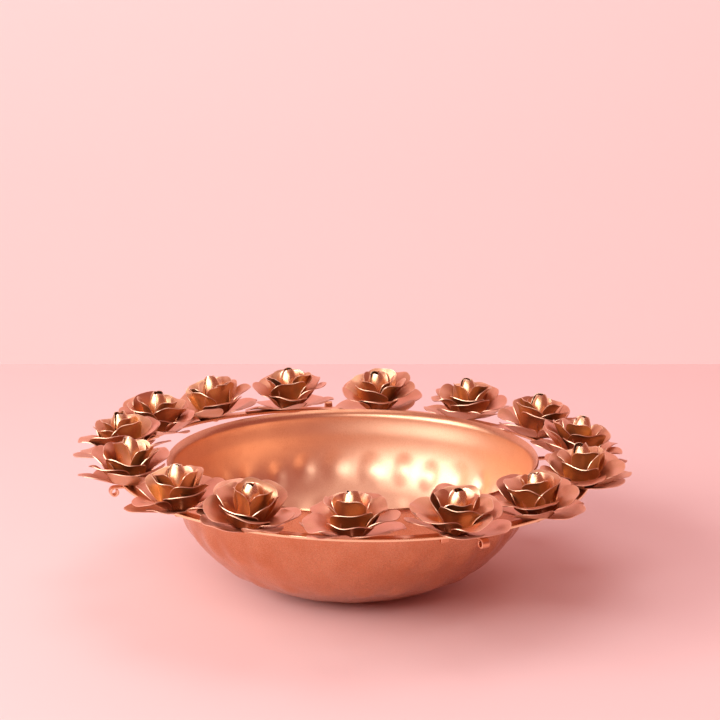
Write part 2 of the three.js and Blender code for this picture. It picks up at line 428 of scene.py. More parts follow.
@dataclass(frozen=True)
class CopperLacquer:
    """Satin copper lacquer over sheet metal: flaked, a little streaky, rubbed bright along its edges, with a
    painted highlight along those edges and painted shade where a piece marks it.

    Attributes:
        name: the material's name.
        face: the usual colour.
        deep: the colour of the darker petals and patches, also used as painted shade on undersides and on the
            bowl's outside.
        bare_and_highlight: the colour of rubbed edges, which also paints a highlight along them.
        roughness: the mean roughness.
        streaks: how strongly brush streaks show.
        flake: how strongly the lacquer's flakes sparkle.
        grain: how strongly the colour is speckled.
        gloss: how much smoother the deep side is.
        cloud_waves: waves per metre of the soft patches.
        grain_waves: waves per metre of the speckles.
        flake_waves: waves per metre of the flakes.
        streak_waves: waves per metre of the brush streaks, across them.
        streak_stretch: the share of those waves that runs along the streaks.
        brush_height: how high the brush streaks stand.
        flake_height: how high the flakes stand.
    """

    name: str
    face: Colour
    deep: Colour
    bare_and_highlight: Colour
    roughness: float
    streaks: float = 0.3
    flake: float = 0.35
    grain: float = 1.5
    gloss: float = 0.0
    cloud_waves: float = 55.0
    grain_waves: float = 1500.0
    flake_waves: float = 2200.0
    streak_waves: float = 900.0
    streak_stretch: float = 0.06
    brush_height: float = 0.05 * MM
    flake_height: float = 0.04 * MM

    def build(self) -> bpy.types.Material:
        """Makes the material.

        Returns:
            The material, which reads the rim, where rubbing and a painted highlight go, and the tone, which
            also carries painted shade, marked on a piece.
        """
        graph = Graph(self.name)
        place = graph.place()
        cloud = graph.noise(place, self.cloud_waves, 3.0, 0.55)
        grain = graph.noise(place, self.grain_waves, 2.0, 0.6)
        flakes = graph.noise(place, self.flake_waves, 1.0)
        drawn = graph.stretched(place, (1.0, 1.0, self.streak_stretch))
        streak = graph.noise(drawn, self.streak_waves, 2.0, 0.6)
        rim = graph.marked("rim")
        tone_and_shade = graph.marked("tone_and_shade")
        # Rubbed wear along the rim, which is also a painted highlight on every edge.
        wear_and_highlight = (rim + 0.5 * (cloud - 0.5)).ramp(0.55, 0.95)
        patches = 0.5 * (cloud - 0.4)
        speckles = self.grain * (grain - 0.5)
        # Darker where the tone mark is high: random tone, plus painted shade on undersides and on the bowl's
        # outside.
        shade = (0.8 * tone_and_shade + patches + speckles).clamped()
        colour = graph.mix(shade, self.face, self.deep)
        colour = graph.mix(wear_and_highlight * 0.8, colour, self.bare_and_highlight)
        uneven = 0.16 * (cloud - 0.5)
        sparkle = self.flake * 0.6 * (flakes - 0.5)
        roughness = self.roughness + uneven + sparkle - 0.04 * wear_and_highlight - self.gloss * tone_and_shade
        brushed = graph.bump(streak, self.brush_height, self.streaks)
        flaked = graph.bump(flakes, self.flake_height, self.flake, brushed)
        return graph.finish(
            {
                "Base Color": colour,
                "Metallic": 1.0,
                "Roughness": roughness.clamped(),
                "Normal": flaked,
                "Coat Weight": 0.12,
                "Coat Roughness": 0.25,
            }
        )


@dataclass(frozen=True)
class PaintedCard:
    """The matt paint of the table or of the wall behind it.

    Attributes:
        name: the material's name.
        colour: the paint's colour.
        glow: how brightly it is lit from behind.
    """

    name: str
    colour: Colour
    glow: float

    def build(self) -> bpy.types.Material:
        """Makes the material.

        Returns:
            The material.
        """
        graph = Graph(self.name)
        tooth = graph.noise(graph.place(), 400.0, 2.0)
        colour = graph.mix(0.03 * tooth, self.colour, (0.9, 0.9, 0.9, 1.0))
        normal = graph.bump(tooth, 0.05 * MM, 0.1)
        return graph.finish(
            {
                "Base Color": colour,
                "Roughness": 0.85,
                "Normal": normal,
                "Emission Color": (1.0, 0.98, 0.95, 1.0),
                "Emission Strength": self.glow,
            }
        )


class Finish(Enum):
    """The finishes of the object, each with the name of the parts that wear it."""

    BOWL = "bowl"
    RING = "flower_ring"
    ARM = "arms"
    OUTER = "outer_petals"
    INNER = "inner_petals"
    BUD = "buds"


LACQUERS: dict[Finish, CopperLacquer] = {
    Finish.BOWL: CopperLacquer(
        "bowl_copper", (0.88, 0.56, 0.37, 1), (0.60, 0.24, 0.115, 1), (0.95, 0.68, 0.46, 1),
        0.42, 0.5, 0.45, grain=0.8, gloss=0.13,
    ),
    Finish.RING: CopperLacquer(
        "ring_copper", (0.86, 0.49, 0.29, 1), (0.76, 0.37, 0.19, 1), (1.0, 0.78, 0.5, 1), 0.34
    ),
    Finish.ARM: CopperLacquer(
        "arm_copper", (0.82, 0.41, 0.24, 1), (0.70, 0.30, 0.15, 1), (0.95, 0.66, 0.45, 1), 0.36
    ),
    Finish.OUTER: CopperLacquer(
        "outer_petal_copper", (0.81, 0.40, 0.28, 1), (0.66, 0.40, 0.19, 1), (0.88, 0.57, 0.41, 1), 0.42
    ),
    Finish.INNER: CopperLacquer(
        "inner_petal_copper", (0.82, 0.44, 0.29, 1), (0.66, 0.42, 0.18, 1), (0.93, 0.66, 0.47, 1), 0.38
    ),
    Finish.BUD: CopperLacquer(
        "bud_copper", (0.86, 0.54, 0.31, 1), (0.72, 0.42, 0.20, 1), (0.97, 0.76, 0.54, 1), 0.30
    ),
}


class Dresser:
    """Builds each finish once and puts pieces into the frame."""

    def __init__(self) -> None:
        """Builds the finishes."""
        self.materials = {kind: lacquer.build() for kind, lacquer in LACQUERS.items()}

    def dress(self, piece: bpy.types.Object, finish: Finish, *nodes: str) -> None:
        """Gives a piece its finish, its body and the CAD nodes that it stands for.

        Args:
            piece: the finished mesh.
            finish: its finish, which is also its material slot.
            nodes: the CAD nodes that it replaces.
        """
        piece.data.materials.clear()
        piece.data.materials.append(self.materials[finish])
        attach(piece, ROOT)
        if nodes:
            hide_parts(*nodes)
        LOG.info("%s: %d faces, for %s", piece.name, len(piece.data.polygons), ", ".join(nodes) or "itself")


# --- The bowl -----------------------------------------------------------------------------------------------


def ease(values: np.ndarray, low: float, high: float) -> np.ndarray:
    """Rises smoothly from 0 at low to 1 at high."""
    share = np.clip((values - low) / (high - low), 0.0, 1.0)
    return share * share * (3.0 - 2.0 * share)


@dataclass
class Bowl:
    """The hammered bowl: one sheet, with a flat to stand on and a lip that flares softly outwards."""

    sheet: float = 1.2 * MM
    base_radius: float = 29 * MM
    wall_top_radius: float = 110.4 * MM
    rise_power: float = 0.713
    spread_power: float = 1.28
    wall_rows: int = 88
    lip_rows: int = 9
    sides: int = 384
    shoulder: float = 1.6 * MM
    lip_flare: float = 4.6 * MM
    lip_turn: float = math.radians(50)
    hammer_rows: tuple[float, ...] = (89.5 * MM, 57 * MM, 28 * MM)
    hammer_pitch: float = 22 * MM
    hammer_width: float = 9.8 * MM
    hammer_length: float = 13.5 * MM
    hammer_depths: tuple[float, ...] = (1.45 * MM, 1.2 * MM, 0.6 * MM)
    stray_around: float = 0.1
    stray_up: float = 1.8 * MM
    mark_sizes: tuple[float, float] = (0.85, 1.15)
    blow_strengths: tuple[float, float] = (0.6, 1.15)
    wobble: float = 0.25 * MM
    outside_share: float = 0.85
    rubbed_and_highlit_lip: float = 1.2 * MM
    dark_lip: tuple[float, float] = (7 * MM, 3 * MM)
    base_rows: int = 8

    def outline(self) -> list[tuple[float, float]]:
        """Draws the middle of the sheet's section, from the axis to the end of the lip.

        Returns:
            The section's points, as (radius, height).
        """
        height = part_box("bowl")[1].z
        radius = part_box("bowl")[1].x
        half = self.sheet / 2
        flare_start = height - self.lip_flare - half
        base = [(self.base_radius * i / self.base_rows, half) for i in range(self.base_rows)]
        wall = []
        steps = np.linspace(0.0, 1.0, 1200) * math.pi / 2
        z = height * (1 - np.cos(steps) ** self.rise_power)
        r = self.base_radius + (self.wall_top_radius - self.base_radius) * np.sin(steps) ** self.spread_power
        r = r + self.shoulder * ease(z, 64 * MM, 78 * MM)
        slope = np.gradient(z), np.gradient(r)
        length = np.hypot(*slope)
        r = r - half * slope[0] / length
        z = z + half * slope[1] / length
        keep = z <= flare_start
        r, z = r[keep], z[keep]
        arc = np.concatenate([[0.0], np.cumsum(np.hypot(np.diff(r), np.diff(z)))])
        for at in np.linspace(0.0, arc[-1], self.wall_rows):
            wall.append((float(np.interp(at, arc, r)), float(np.interp(at, arc, z))))
        reach = radius - wall[-1][0] - half * 0.4
        lip = []
        for i in range(1, self.lip_rows + 1):
            turned = self.lip_turn * i / self.lip_rows
            out = (1 - math.cos(turned)) / (1 - math.cos(self.lip_turn))
            up = math.sin(turned) / math.sin(self.lip_turn)
            lip.append((wall[-1][0] + reach * out, flare_start + self.lip_flare * up))
        return base + wall + lip

    def hammer(self, points: np.ndarray) -> np.ndarray:
        """Beats the rows of round hammer marks into the wall, from the inside.

        Args:
            points: the vertices of the turned skin.

        Returns:
            The vertices with the marks.
        """
        outline = np.array(self.outline())
        arc = np.concatenate([[0.0], np.cumsum(np.hypot(*np.diff(outline, axis=0).T))])
        key = outline.sum(axis=1)
        radius = np.hypot(points[:, 0], points[:, 1])
        angle = np.arctan2(points[:, 1], points[:, 0])
        at = np.interp(radius + points[:, 2], key, arc)
        slope_r = np.interp(at, arc, np.gradient(outline[:, 0], arc))
        slope_z = np.interp(at, arc, np.gradient(outline[:, 1], arc))
        push = np.zeros(len(points))
        rng = random.Random("hammer")
        start = self.base_radius
        for row, middle in enumerate(self.hammer_rows):
            row_radius = float(np.interp(start + middle, arc, outline[:, 0]))
            count = round(math.tau * row_radius / self.hammer_pitch)
            for mark in range(count):
                stray = rng.uniform(-self.stray_around, self.stray_around)
                turn = math.tau * (mark + 0.5 * (row % 2) + stray) / count
                high = start + middle + rng.uniform(-self.stray_up, self.stray_up)
                size = rng.uniform(*self.mark_sizes)
                depth = self.hammer_depths[row] * rng.uniform(*self.blow_strengths)
                around = (angle - turn + math.pi) % math.tau - math.pi
                across = around * row_radius / self.hammer_width
                along = (at - high) / self.hammer_length
                away = np.hypot(across, along) / size
                push += depth * (1.0 - ease(away, 0.0, 1.0))
        self.push = push
        self.at = at
        wobble = self.wobble * np.sin(3 * angle + 1.0) * ease(at, 40 * MM, 110 * MM)
        out_r = slope_z * push + wobble * 0.5
        out_z = -slope_r * push
        grown = (radius + out_r) / np.maximum(radius, 1e-9)
        return np.column_stack([points[:, 0] * grown, points[:, 1] * grown, points[:, 2] + out_z])

    def build(self) -> bpy.types.Object:
        """Turns the bowl, hammers it and gives it its wall.

        Returns:
            The bowl, with its rim marked for rubbing and a painted highlight, and its outside marked for
            painted shade.
        """
        piece = Bench.turned("hammered_bowl", self.outline(), self.sides)
        Bench.press(piece, self.hammer)
        end = self.at.max()
        dark_start, dark_end = self.dark_lip
        # The lip's edge is marked bright, partly rubbed wear and partly a painted highlight; the last few
        # millimetres of the lip are marked darker.
        Bench.mark(piece, "rim", 0.5 * ease(self.at, end - self.rubbed_and_highlit_lip, end))
        Bench.mark(piece, "tone_and_shade", 0.7 * ease(self.at, end - dark_start, end - dark_end))
        Bench.mark(piece, "push", self.push)
        Bench.thicken(piece, self.sheet)
        points = Bench.read(piece, "co")
        normals = Bench.read(piece, "normal")
        radial = points[:, :2] / np.maximum(np.hypot(points[:, 0], points[:, 1]), 1e-9)[:, None]
        outside = ease((normals[:, :2] * radial).sum(axis=1) - normals[:, 2], -0.2, 0.2)
        relief = (1.0 - self.outside_share) * outside * Bench.marked(piece, "push")
        Bench.press(piece, lambda skin: skin - normals * relief[:, None])
        # Outward faces are marked deep: painted shade on the bowl's outside.
        Bench.mark(piece, "tone_and_shade", np.maximum(outside, Bench.marked(piece, "tone_and_shade")))
        Bench.smooth(piece, 50.0)
        return piece

    def dress(self, dresser: Dresser) -> None:
        """Makes the bowl and puts it into the frame."""
        dresser.dress(self.build(), Finish.BOWL, "bowl")


# --- The ring and its arms ----------------------------------------------------------------------------------


@dataclass
class FlowerRing:
    """The flat hoop that carries the roses, left a little higher on the -X side by hand assembly."""

    radius: float = 143.5 * MM
    width: float = 6.8 * MM
    thickness: float = 1.8 * MM
    underside: float = 73.1 * MM
    tilt: float = math.radians(1.54)
    edge_round: float = 0.45 * MM
    sides: int = 240
    rows: int = 4

    def frame(self) -> Matrix:
        """The ring's own frame: its origin is the middle of its underside."""
        return Matrix.Translation((0, 0, self.underside)) @ Matrix.Rotation(self.tilt, 4, "Y")

    def underside_at(self, radius: float, angle: float) -> float:
        """The height of the ring's underside, carried on to any radius."""
        return self.underside - math.tan(self.tilt) * radius * math.cos(angle)

    def dress(self, dresser: Dresser) -> None:
        """Makes the ring and puts it into the frame.

        Args:
            dresser: gives it its finish.
        """
        inner = self.radius - self.width / 2
        outer = self.radius + self.width / 2
        rows = self.rows
        low = [(inner + self.width * i / rows, 0.0) for i in range(rows + 1)]
        high = [(outer - self.width * i / rows, self.thickness) for i in range(rows + 1)]
        piece = Bench.turned("rose_hoop", low + high + low[:1], self.sides)
        points = Bench.read(piece, "co")
        edge = np.abs(np.hypot(points[:, 0], points[:, 1]) - self.radius) / (self.width / 2)
        Bench.mark(piece, "tone_and_shade", np.full(len(points), 0.3))
        # Edges marked as rubbed bright, which is also a painted highlight along them.
        Bench.mark(piece, "rim", ease(edge, 0.8, 1.0))
        Bench.soften(piece, self.edge_round, 3)
        Bench.place(piece, self.frame())
        Bench.smooth(piece)
        dresser.dress(piece, Finish.RING, "flower_ring")


class Roll(Enum):
    """Which way an arm's scroll is rolled."""

    UP = 1
    DOWN = -1


@dataclass
class Arm:
    """A strap from the bowl's wall under the ring to a scroll past its outer edge."""

    node: str
    at: float
    roll: Roll
    ring: FlowerRing
    width: float = 5 * MM
    thickness: float = 1.2 * MM
    tab_bottom: float = 56 * MM
    tab_top: float = 64 * MM
    wall_radius: float = 109.2 * MM
    level_radius: float = 119 * MM
    overhang: float = 3.9 * MM
    scroll_radius: float = 2.7 * MM
    scroll_turn: float = math.radians(330)
    scroll_tighten: float = 0.9 * MM
    below_ring: float = 1.05 * MM
    edge_round: float = 0.25 * MM
    bend_steps: int = 10
    scroll_steps: int = 28
    steps: int = 72
    columns: int = 6

    def line(self) -> np.ndarray:
        """Draws the strap's middle line in its radial plane.

        Returns:
            The line's points, as rows of radius and height.
        """
        angle = math.radians(self.at)
        outer = self.ring.radius + self.ring.width / 2
        end = outer + self.overhang
        level = self.ring.underside_at(end, angle) - self.below_ring
        start = self.ring.underside_at(self.level_radius, angle) - self.below_ring
        roll = self.roll.value
        points = [(self.wall_radius, self.tab_bottom), (self.wall_radius, self.tab_top)]
        for i in range(1, self.bend_steps + 1):
            share = i / self.bend_steps
            ramp = share * share * (3 - 2 * share)
            climb = 0.5 * share + 0.5 * math.sin(share * math.pi / 2) * ramp
            out = self.wall_radius + (self.level_radius - self.wall_radius) * share
            points.append((out, self.tab_top + (start - self.tab_top) * climb))
        points[-1] = (self.level_radius, start)
        points.append((end, level))
        for i in range(1, self.scroll_steps + 1):
            share = i / self.scroll_steps
            turned = roll * (self.scroll_turn * share - math.pi / 2)
            size = self.scroll_radius - self.scroll_tighten * share
            centre = level + roll * self.scroll_radius
            points.append((end + size * math.cos(turned), centre + size * math.sin(turned)))
        return np.array(points)

    def dress(self, dresser: Dresser) -> None:
        """Bends the strap and puts it into the frame.

        Args:
            dresser: gives it its finish.
        """
        line = self.line()
        arc = np.concatenate([[0.0], np.cumsum(np.hypot(*np.diff(line, axis=0).T))])
        piece = Bench.sheet(self.node.replace("arm", "scroll_arm"), self.columns, self.steps)

        def along(points: np.ndarray) -> np.ndarray:
            """Lays the sheet along the line.

            Args:
                points: the flat sheet's vertices.

            Returns:
                The strap's vertices.
            """
            at = points[:, 1] * arc[-1]
            side = (points[:, 0] - 0.5) * self.width
            return np.column_stack([np.interp(at, arc, line[:, 0]), side, np.interp(at, arc, line[:, 1])])

        flat = Bench.read(piece, "co")
        Bench.press(piece, along)
        Bench.mark(piece, "tone_and_shade", np.full(len(flat), 0.35))
        # Strap edges marked as rubbed bright, which is also a painted highlight along them.
        Bench.mark(piece, "rim", ease(np.abs(flat[:, 0] - 0.5), 0.38, 0.5))
        Bench.thicken(piece, self.thickness)
        Bench.soften(piece, self.edge_round, 2)
        Bench.place(piece, Matrix.Rotation(math.radians(self.at), 4, "Z"))
        Bench.smooth(piece)
        dresser.dress(piece, Finish.ARM, self.node)


# --- The roses ----------------------------------------------------------------------------------------------


Slopes = tuple[tuple[float, float], ...]


@dataclass(frozen=True)
class PetalDisc:
    """One disc of petals: how it is cut from flat sheet and how each petal is pressed.

    Attributes:
        key: the piece's name.
        count: petals on the disc.
        length: from the pin's middle to a petal's tip, along the sheet.
        width: the petals' width.
        slit: the radius at which the slits between petals end.
        tip: the length of the rounded end.
        squareness: 2 for a round end, more for a squarer one.
        hub: the height of the disc's middle above the ring.
        slopes: the petals' slope in degrees at shares of the way from the slit to the tip.
        cup: the radius to which a petal is bent across.
        twist: the turn of a petal about its own length, in degrees.
        roll: how far the corners of the lip are rolled outwards.
        nod: how far the disc is bent open towards the table's front, as a fall per length from the pin.
        loose: how much petals differ from each other, in degrees of slope.
    """

    key: str
    count: int
    length: float
    width: float
    slit: float
    tip: float
    squareness: float
    hub: float
    slopes: Slopes
    cup: float
    twist: float
    roll: float
    nod: float
    loose: float


SPREAD = PetalDisc(
    "spread_petals", 5, 31.5 * MM, 26.5 * MM, 6.5 * MM, 12 * MM, 2.1, 0.9 * MM,
    slopes=((0, 0), (0.12, 8), (0.6, 13), (1, 0)), cup=50 * MM, twist=5, roll=0.8 * MM,
    nod=0.0, loose=6,
)
CUP = PetalDisc(
    "cup_petals", 5, 30 * MM, 27.5 * MM, 5 * MM, 11 * MM, 2.4, 1.5 * MM,
    slopes=((0, 4), (0.12, 46), (0.38, 42), (0.7, 26), (1, 8)), cup=34 * MM, twist=6, roll=1.6 * MM,
    nod=0.25, loose=11,
)
HEART = PetalDisc(
    "heart_petals", 4, 26.6 * MM, 26 * MM, 4.5 * MM, 9 * MM, 2.7, 2.2 * MM,
    slopes=((0, 8), (0.12, 62), (0.5, 60), (0.84, 48), (1, 32)), cup=22 * MM, twist=7, roll=1.3 * MM,
    nod=0.25, loose=11,
)
CORE = PetalDisc(
    "core_petals", 3, 25 * MM, 19 * MM, 3.6 * MM, 6.5 * MM, 3.1, 2.9 * MM,
    slopes=((0, 14), (0.12, 76), (0.6, 72), (0.88, 62), (1, 46)), cup=13 * MM, twist=7, roll=0.9 * MM,
    nod=0.1, loose=9,
)


@dataclass(frozen=True)
class RoseSetting:
    """How one rose was set on the ring by hand.

    Attributes:
        at: its place round the ring, in degrees anticlockwise; -90 is the front.
        turns: the turn of its spread, cup, heart and core discs on the pin, in degrees from straight
            outwards.
        lift: how far the spread petals' ends are raised, in millimetres, where 2 is level.
        out: how far the tip leans away from the bowl, in millimetres.
        round: how far the tip leans anticlockwise round the ring, in millimetres.
        tall: how much taller than usual the rose is, in millimetres.
    """

    at: float
    turns: tuple[float, float, float, float]
    lift: float
    out: float
    round: float
    tall: float


ROSES: tuple[RoseSetting, ...] = (
    RoseSetting(-90, (36, 0, 2, 0), 4, -3, -1, 0),
    RoseSetting(-66, (50, 12, 66, 96), 6, 1, 0.5, 0),
    RoseSetting(-42, (12, -44, 0, -42), 4, -3, 0, 0.5),
    RoseSetting(-14, (30, -4, -4, -61), 3, -3, 2.5, 1),
    RoseSetting(10, (0, 36, 2, -2), 5, 5, 3.5, 2.8),
    RoseSetting(33, (52, 14, 12, 57), 3, 4.5, 3, 3.6),
    RoseSetting(57.5, (30, 66, 22, 32), 6, 3, 3, 2),
    RoseSetting(83, (8, 44, 72, 7), 2, -2, 3, 0.6),
    RoseSetting(107.5, (20, 14, 72, -18), 2, 3.5, 1.5, 1.8),
    RoseSetting(130, (58, 20, 5, 80), 3, 6, 1.5, 2),
    RoseSetting(153, (14, 50, 72, 57), 5, -0.5, -2, 1),
    RoseSetting(177, (40, 4, 38, 33), 3, 3, -4, 2.2),
    RoseSetting(202, (66, 30, 68, 8), 5, -2, -4.5, 2.8),
    RoseSetting(226, (26, 62, 88, 104), 3, -1, -4, 1.4),
    RoseSetting(246, (54, 18, 84, 84), 5, 0.5, 1.5, 0.4),
)


@dataclass
class PetalPress:
    """Cuts one petal from flat sheet and presses copies of it to their individual shapes."""

    disc: PetalDisc
    columns: int = 16
    rows: int = 24
    pin_hole: float = 1.6 * MM
    slit_gap: float = 0.4 * MM
    swing: float = 7.0
    wave: float = 0.7 * MM
    rubbed_and_highlit_edge: tuple[float, float] = (0.05 * MM, 0.75 * MM)

    def __post_init__(self) -> None:
        """Cuts the flat petal."""
        self.blank = Bench.sheet(f"{self.disc.key}_blank", self.columns, self.rows)
        flat = Bench.read(self.blank, "co")
        across = np.sin((2 * flat[:, 0] - 1) * math.pi / 2)
        disc = self.disc
        corner = np.clip(1.0 - np.abs(across) ** disc.squareness, 0.0, 1.0) ** (1 / disc.squareness)
        end = disc.length - disc.tip * (1.0 - corner)
        out = self.pin_hole + flat[:, 1] ** 1.1 * (end - self.pin_hole)
        sector = math.tan(math.pi / disc.count)
        neck = np.minimum(out, disc.slit) * sector
        belly = disc.slit + 0.58 * (disc.length - disc.slit)
        widen = np.sin(np.clip((out - disc.slit) / (belly - disc.slit), 0.0, 1.0) * math.pi / 2) ** 1.15
        half = neck + (disc.width / 2 - disc.slit * sector) * widen - self.slit_gap * (out > disc.slit)
        self.out = out
        self.side = across * half
        self.reach = np.clip((out - disc.slit) / (disc.length - disc.slit), 0.0, 1.0)
        # Edges marked as rubbed bright, which is also a painted highlight along every petal's outline.
        to_edge = np.minimum((1.0 - np.abs(across)) * half, np.maximum(end - out, 0.0) * (0.2 + 0.8 * corner))
        self.rim = (1.0 - ease(to_edge, *self.rubbed_and_highlit_edge)) * ease(out, disc.slit, disc.slit + 2 * MM)

    def petal(self, name: str, rng: random.Random, lift: float, hand: int) -> bpy.types.Object:
        """Presses one petal, pointing along +X.

        Args:
            name: the petal's name while it is a piece of its own.
            rng: where its small differences come from.
            lift: a slope added to the whole petal, in degrees.
            hand: the way the disc's petals are twisted, 1 or -1.

        Returns:
            The petal as a skin.
        """
        disc = self.disc
        lift = lift + rng.uniform(-1, 1) * disc.loose
        curl = rng.uniform(-1, 1) * disc.loose * 1.6
        twist = math.radians(disc.twist * rng.uniform(0.3, 1.5)) * hand
        cup = disc.cup * rng.uniform(0.85, 1.5)
        rolls = disc.roll * rng.uniform(-0.2, 1.6), disc.roll * rng.uniform(-0.2, 1.6)
        swing = math.radians(rng.uniform(-self.swing, self.swing))
        wave = rng.uniform(-self.wave, self.wave)
        steps = np.linspace(0.0, disc.length, 240)
        reach = (steps - disc.slit) / (disc.length - disc.slit)
        slope = np.interp(reach, *zip(*disc.slopes)) * (reach > 0)
        slope = np.convolve(np.pad(slope, 9, mode="edge"), np.ones(19) / 19, mode="valid")
        slope = np.radians(slope + lift * ease(reach, 0.0, 0.2) + curl * ease(reach, 0.55, 1.0))
        span = disc.length / (len(steps) - 1)
        along_r = np.concatenate([[0.0], np.cumsum(np.cos(slope[1:]) * span)])
        along_z = np.concatenate([[0.0], np.cumsum(np.sin(slope[1:]) * span)])

        def form(points: np.ndarray) -> np.ndarray:
            """Bends the petal along its length, cups it across, rolls its corners and twists it.

            Args:
                points: the flat petal's vertices, whose places along and across are already known.

            Returns:
                The pressed petal's vertices.
            """
            r = np.interp(self.out, steps, along_r)
            z = np.interp(self.out, steps, along_z)
            tilt = np.interp(self.out, steps, slope)
            bend = np.maximum(ease(self.reach, 0.0, 0.4) / cup, 1e-4)
            across = np.sin(bend * self.side) / bend
            depth = (1.0 - np.cos(bend * self.side)) / bend
            corner = ease(np.abs(self.side) / disc.width, 0.2, 0.5) * ease(self.reach, 0.5, 1.0)
            depth = depth - corner * np.where(self.side > 0, rolls[0], rolls[1])
            turn = twist * ease(self.reach, 0.0, 0.8)
            side = across * np.cos(turn) - depth * np.sin(turn)
            up = across * np.sin(turn) + depth * np.cos(turn)
            up = up + wave * np.sin(self.side / disc.width * 9.0) * ease(self.reach, 0.4, 1.0)
            side = side + swing * r * ease(self.reach, 0.0, 0.6)
            return np.column_stack([r - up * np.sin(tilt), side, z + up * np.cos(tilt)])

        petal = Bench.copy(self.blank, name)
        Bench.press(petal, form)
        Bench.mark(petal, "rim", self.rim)
        Bench.mark(petal, "tone_and_shade", np.full(len(self.rim), rng.uniform(0.0, 1.0)))
        return petal

    def scrap(self) -> None:
        """Removes the flat petal once all copies are made."""
        bpy.data.objects.remove(self.blank)


@dataclass
class BudRoller:
    """Rolls a bud from three small petals wrapped round the pin, with a hole left in its crown."""

    height: float
    sheet: float = 0.4 * MM
    seat: float = 4.2 * MM
    foot_radius: float = 1.6 * MM
    belly_radius: float = 5.8 * MM
    belly_at: float = 0.42
    dome: float = 0.64
    squareness: float = 2.6
    flare: float = 0.4 * MM
    top_stray: float = 1.8 * MM
    wraps: int = 3
    wrap_angle: float = math.radians(215)
    columns: int = 22
    rows: int = 16
    spiral: float = 1.3 * MM

    def wrap(self, name: str, turn: float, rng: random.Random) -> bpy.types.Object:
        """Rolls one small petal.

        Args:
            name: its name while it is a piece of its own.
            turn: where its middle stands round the pin.
            rng: where its small differences come from.

        Returns:
            The petal as a skin.
        """
        sheet = Bench.sheet(name, self.columns, self.rows)
        flat = Bench.read(sheet, "co")
        across = 2 * flat[:, 0] - 1
        top = self.height - self.seat - rng.uniform(0.0, self.top_stray)
        lean = rng.uniform(0.1, 0.22)

        def form(_: np.ndarray) -> np.ndarray:
            """Wraps the sheet into a closing cone whose sides overlap its neighbours'.

            Returns:
                The wrapped petal's vertices.
            """
            corner = np.clip(1.0 - np.abs(across) ** self.squareness, 0.0, 1.0) ** (1 / self.squareness)
            high = flat[:, 1] * (0.66 + 0.34 * corner)
            belly = np.sin(np.clip(high / self.belly_at, 0.0, 1.0) * math.pi / 2)
            radius = self.foot_radius + (self.belly_radius - self.foot_radius) * belly
            radius = radius * np.sqrt(1.0 - np.clip((high - self.belly_at) / self.dome, 0.0, 1.0) ** 2)
            radius = radius + self.spiral * (0.5 * across + 0.1) * (0.45 + 0.55 * belly)
            radius = radius + self.flare * ease(high, 0.9, 1.0) * ease(np.abs(across), 0.0, 0.9)
            angle = turn + across * self.wrap_angle / 2 * (1.0 - 0.12 * high) + lean * high * 3.0
            return np.column_stack([radius * np.cos(angle), radius * np.sin(angle), self.seat + high * top])

        Bench.press(sheet, form)
        edge = np.minimum(1.0 - np.abs(across), 1.0 - flat[:, 1])
        # Edges and the top of each wrap are marked bright: partly rubbed wear, partly a painted highlight on
        # the crown.
        Bench.mark(sheet, "rim", np.maximum(1.0 - ease(edge, 0.0, 0.1), 0.7 * ease(flat[:, 1], 0.75, 1.0)))
        Bench.mark(sheet, "tone_and_shade", np.full(len(flat), rng.uniform(0.0, 0.6)))
        return sheet

    def roll(self, name: str, rng: random.Random) -> bpy.types.Object:
        """Rolls a whole bud.

        Args:
            name: the bud's name.
            rng: where its small differences come from.

        Returns:
            The bud, with its crown up, standing on the origin.
        """
        start = rng.uniform(0, math.tau)
        wraps = []
        for i in range(self.wraps):
            wraps.append(self.wrap(f"{name}_wrap_{i}", start + math.tau * i / self.wraps, rng))
        bud = Bench.joined(wraps, name, 0.0001 * MM)
        Bench.thicken(bud, self.sheet)
        return bud


